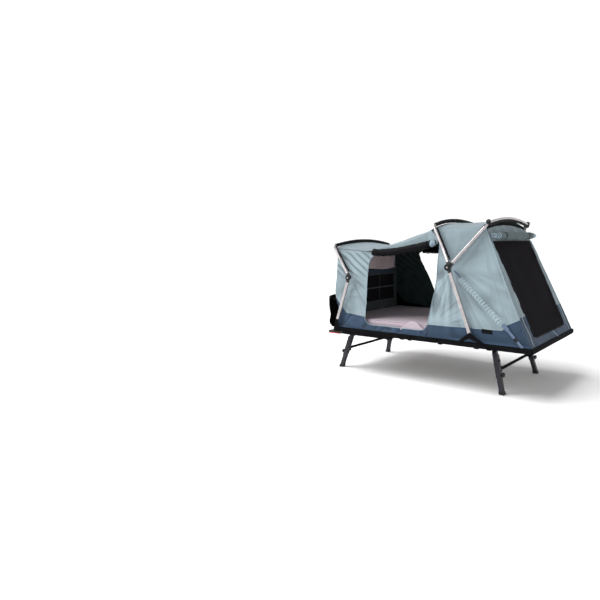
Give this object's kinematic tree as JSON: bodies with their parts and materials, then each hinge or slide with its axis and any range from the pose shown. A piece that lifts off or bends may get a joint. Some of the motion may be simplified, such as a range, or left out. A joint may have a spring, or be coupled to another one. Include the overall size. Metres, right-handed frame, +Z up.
{
  "type": "hitch tent",
  "caption": "Folding sleeping platform on telescopic legs with a hitch tongue, a mattress and a fabric canopy over hinged bows.",
  "frame": {"origin": "ground level, under the middle of the bounding box", "axes": "+X along the platform, away from the towing vehicle; +Z up; -Y towards the viewer of the picture"},
  "size_m": [2.86, 1.5826, 1.8364],
  "materials": {
    "frame_black": "satin black powder coat",
    "leg_grey": "satin dark grey anodised",
    "pole_silver": "brushed silver with black plastic corners",
    "black_plastic": "matte black",
    "black_cloth": "black woven cloth and mesh",
    "red_lens": "clear red",
    "plywood": "dark stained board",
    "mattress_cloth": "soft pale pinkish grey",
    "light_cloth": "light grey-blue woven canvas",
    "dark_cloth": "dark blue woven canvas",
    "roll_cloth": "grey-green woven canvas",
    "webbing": "blue woven webbing"
  },
  "bodies": {
    "tow_section": {"tow_rails": "frame_black", "tow_deck": "plywood", "tow_mattress": "mattress_cloth", "chassis_frame": "frame_black", "hitch_tongue": "frame_black", "tow_cover_sheet": "black_plastic", "tow_cover_folds": "black_cloth", "tail_lamp_bar": "black_plastic", "tail_lamp_lens_near": "red_lens", "tail_lamp_lens_far": "red_lens", "tow_canopy": "light_cloth", "door_lower_wall": "dark_cloth", "organiser": "black_cloth"},
    "spine_section": {"spine_rails": "frame_black", "spine_deck": "plywood", "spine_mattress": "mattress_cloth", "front_roof": "light_cloth", "door_roll_near": "black_cloth", "door_roll_far": "black_cloth"},
    "outer_section": {"outer_rails": "frame_black", "outer_deck": "plywood", "outer_mattress": "mattress_cloth", "pole_bracket_near": "frame_black", "pole_bracket_far": "frame_black", "outer_canopy": "light_cloth", "rear_wall": "light_cloth", "window_mesh": "black_cloth", "window_roll": "roll_cloth", "corner_strap_near": "webbing", "corner_strap_far": "webbing", "strap_buckle_near": "black_plastic", "strap_buckle_far": "black_plastic"},
    "tow_poles": {"tow_pole_near": "pole_silver", "tow_pole_far": "pole_silver", "tow_hub_near": "black_plastic", "tow_hub_far": "black_plastic"},
    "front_bow_body": {"front_bow": "pole_silver"},
    "outer_poles": {"outer_pole_near": "pole_silver", "outer_pole_far": "pole_silver", "outer_hub_near": "black_plastic", "outer_hub_far": "black_plastic"},
    "mid_bow_body": {"mid_bow": "pole_silver"},
    "rear_bow_body": {"rear_bow": "pole_silver"},
    "tow_legs": {"tow_leg_crossbar": "frame_black", "upper_leg_near_tow": "leg_grey", "upper_leg_far_tow": "leg_grey"},
    "outer_legs": {"outer_leg_crossbar": "frame_black", "upper_leg_near_outer": "leg_grey", "upper_leg_far_outer": "leg_grey"},
    "lower_leg_near_tow_body": {"lower_leg_near_tow": "leg_grey"},
    "leg_knob_near_tow_body": {"leg_knob_near_tow": "black_plastic"},
    "lower_leg_far_tow_body": {"lower_leg_far_tow": "leg_grey"},
    "leg_knob_far_tow_body": {"leg_knob_far_tow": "black_plastic"},
    "lower_leg_near_outer_body": {"lower_leg_near_outer": "leg_grey"},
    "leg_knob_near_outer_body": {"leg_knob_near_outer": "black_plastic"},
    "lower_leg_far_outer_body": {"lower_leg_far_outer": "leg_grey"},
    "leg_knob_far_outer_body": {"leg_knob_far_outer": "black_plastic"}
  },
  "joints": [
    {"name": "spine_fold", "type": "hinge", "parent": "tow_section", "child": "spine_section", "pos_m": [0.138, 0, 0.6716], "axis": [0, -1, 0], "range_deg": [0, 90], "deforming": ["tow_canopy", "door_lower_wall", "organiser", "front_roof", "door_roll_near", "door_roll_far", "outer_canopy", "rear_wall", "window_mesh", "window_roll", "corner_strap_near", "corner_strap_far", "strap_buckle_near", "strap_buckle_far"]},
    {"name": "outer_fold", "type": "hinge", "parent": "spine_section", "child": "outer_section", "pos_m": [0.449, 0, 0.6716], "axis": [0, -1, 0], "range_deg": [0, 90]},
    {"name": "tow_pole_fold", "type": "hinge", "parent": "tow_section", "child": "tow_poles", "pos_m": [-0.876, 0, 0.627], "axis": [0, 1, 0], "range_deg": [0, 63]},
    {"name": "front_bow_fold", "type": "hinge", "parent": "tow_poles", "child": "front_bow_body", "pos_m": [-0.702, 0, 1.161], "axis": [0, -1, 0], "range_deg": [0, 112]},
    {"name": "outer_pole_fold", "type": "hinge", "parent": "outer_section", "child": "outer_poles", "pos_m": [0.81, 0, 0.627], "axis": [0, 1, 0], "range_deg": [0, 103.5]},
    {"name": "mid_bow_fold", "type": "hinge", "parent": "outer_poles", "child": "mid_bow_body", "pos_m": [0.56, 0, 1.312], "axis": [0, -1, 0], "range_deg": [0, 161.5]},
    {"name": "rear_bow_fold", "type": "hinge", "parent": "outer_poles", "child": "rear_bow_body", "pos_m": [0.56, 0, 1.312], "axis": [0, -1, 0], "range_deg": [0, 217.5]},
    {"name": "tow_leg_fold", "type": "hinge", "parent": "tow_section", "child": "tow_legs", "pos_m": [-0.837, 0, 0.435], "axis": [0, -1, 0], "range_deg": [0, 104.5]},
    {"name": "outer_leg_fold", "type": "hinge", "parent": "outer_section", "child": "outer_legs", "pos_m": [0.975, 0, 0.435], "axis": [0, 1, 0], "range_deg": [0, 104.5]},
    {"name": "leg_slide_near_tow", "type": "slide", "parent": "tow_legs", "child": "lower_leg_near_tow_body", "axis": [-0.2486, -0.1496, -0.957], "range_m": [0, 0.12]},
    {"name": "knob_turn_near_tow", "type": "hinge", "parent": "tow_legs", "child": "leg_knob_near_tow_body", "pos_m": [-0.89805, -0.53274, 0.2], "axis": [-1, 0, 0], "continuous": true},
    {"name": "leg_slide_far_tow", "type": "slide", "parent": "tow_legs", "child": "lower_leg_far_tow_body", "axis": [-0.2486, 0.1496, -0.957], "range_m": [0, 0.12]},
    {"name": "knob_turn_far_tow", "type": "hinge", "parent": "tow_legs", "child": "leg_knob_far_tow_body", "pos_m": [-0.89805, 0.53274, 0.2], "axis": [-1, 0, 0], "continuous": true},
    {"name": "leg_slide_near_outer", "type": "slide", "parent": "outer_legs", "child": "lower_leg_near_outer_body", "axis": [0.2486, -0.1496, -0.957], "range_m": [0, 0.12]},
    {"name": "knob_turn_near_outer", "type": "hinge", "parent": "outer_legs", "child": "leg_knob_near_outer_body", "pos_m": [1.03605, -0.53274, 0.2], "axis": [1, 0, 0], "continuous": true},
    {"name": "leg_slide_far_outer", "type": "slide", "parent": "outer_legs", "child": "lower_leg_far_outer_body", "axis": [0.2486, 0.1496, -0.957], "range_m": [0, 0.12]},
    {"name": "knob_turn_far_outer", "type": "hinge", "parent": "outer_legs", "child": "leg_knob_far_outer_body", "pos_m": [1.03605, 0.53274, 0.2], "axis": [1, 0, 0], "continuous": true}
  ],
  "couplings": [
    {"joint": "outer_fold", "follows": "spine_fold", "ratio": 1},
    {"joint": "tow_pole_fold", "follows": "spine_fold", "ratio": 0.7},
    {"joint": "front_bow_fold", "follows": "spine_fold", "ratio": 1.2444},
    {"joint": "outer_pole_fold", "follows": "spine_fold", "ratio": 1.15},
    {"joint": "mid_bow_fold", "follows": "spine_fold", "ratio": 1.7944},
    {"joint": "rear_bow_fold", "follows": "spine_fold", "ratio": 2.4167}
  ]
}
